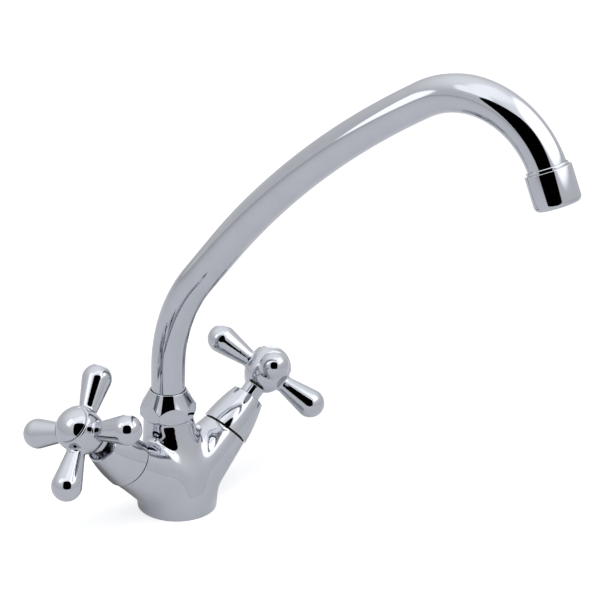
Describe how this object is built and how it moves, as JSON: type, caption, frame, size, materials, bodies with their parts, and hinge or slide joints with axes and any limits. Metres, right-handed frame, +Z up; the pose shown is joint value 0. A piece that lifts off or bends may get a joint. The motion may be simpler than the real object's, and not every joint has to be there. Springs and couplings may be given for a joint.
{
  "type": "kitchen mixer tap",
  "caption": "Deck-mounted kitchen mixer on one round foot, with a tall bent swivel spout and a cross handle on each slanting valve arm.",
  "frame": {"origin": "centre of the round foot's underside, on the deck", "axes": "+Z up, -Y towards the user at the sink, +X towards the user's right-hand valve"},
  "size_m": [0.1904, 0.2805, 0.2968],
  "materials": {
    "chrome_plate": "polished chrome plate on brass",
    "brass": "machined brass",
    "seal_rubber": "moulded black rubber",
    "disc_ceramic": "lapped alumina",
    "slide_plastic": "turned acetal",
    "jet_plastic": "moulded grey acetal",
    "spring_steel": "plain stainless steel"
  },
  "bodies": {
    "tap_body": {"body_casting": "chrome_plate", "base_seal": "seal_rubber", "spout_nut": "chrome_plate", "left_headwork_body": "brass", "left_headwork_o_ring": "seal_rubber", "left_seat_seal": "seal_rubber", "left_fixed_disc": "disc_ceramic", "left_shroud": "chrome_plate", "right_headwork_body": "brass", "right_headwork_o_ring": "seal_rubber", "right_seat_seal": "seal_rubber", "right_fixed_disc": "disc_ceramic", "right_shroud": "chrome_plate"},
    "spout": {"spout_tube": "chrome_plate", "spout_foot": "brass", "spout_o_rings": "seal_rubber", "slide_ring": "slide_plastic", "outlet_bush": "chrome_plate", "aerator_housing": "chrome_plate", "aerator_seal": "seal_rubber", "aerator_cartridge": "jet_plastic"},
    "left_handle": {"left_cross_handle": "chrome_plate", "left_index_cap": "chrome_plate", "left_handle_screw": "spring_steel", "left_spindle": "brass", "left_spindle_o_rings": "seal_rubber", "left_spindle_circlip": "spring_steel", "left_turning_disc": "disc_ceramic"},
    "right_handle": {"right_cross_handle": "chrome_plate", "right_index_cap": "chrome_plate", "right_handle_screw": "spring_steel", "right_spindle": "brass", "right_spindle_o_rings": "seal_rubber", "right_spindle_circlip": "spring_steel", "right_turning_disc": "disc_ceramic"}
  },
  "joints": [
    {"name": "spout_swivel", "type": "hinge", "parent": "tap_body", "child": "spout", "pos_m": [0, 0.0085, 0.06], "axis": [0, 0, 1], "continuous": true},
    {"name": "left_handle_turn", "type": "hinge", "parent": "tap_body", "child": "left_handle", "pos_m": [0, 0, 0.0049], "axis": [-0.7373, 0, 0.6756], "range_deg": [0, 90]},
    {"name": "right_handle_turn", "type": "hinge", "parent": "tap_body", "child": "right_handle", "pos_m": [0, 0, 0.0049], "axis": [0.7373, 0, 0.6756], "range_deg": [0, 90]}
  ]
}
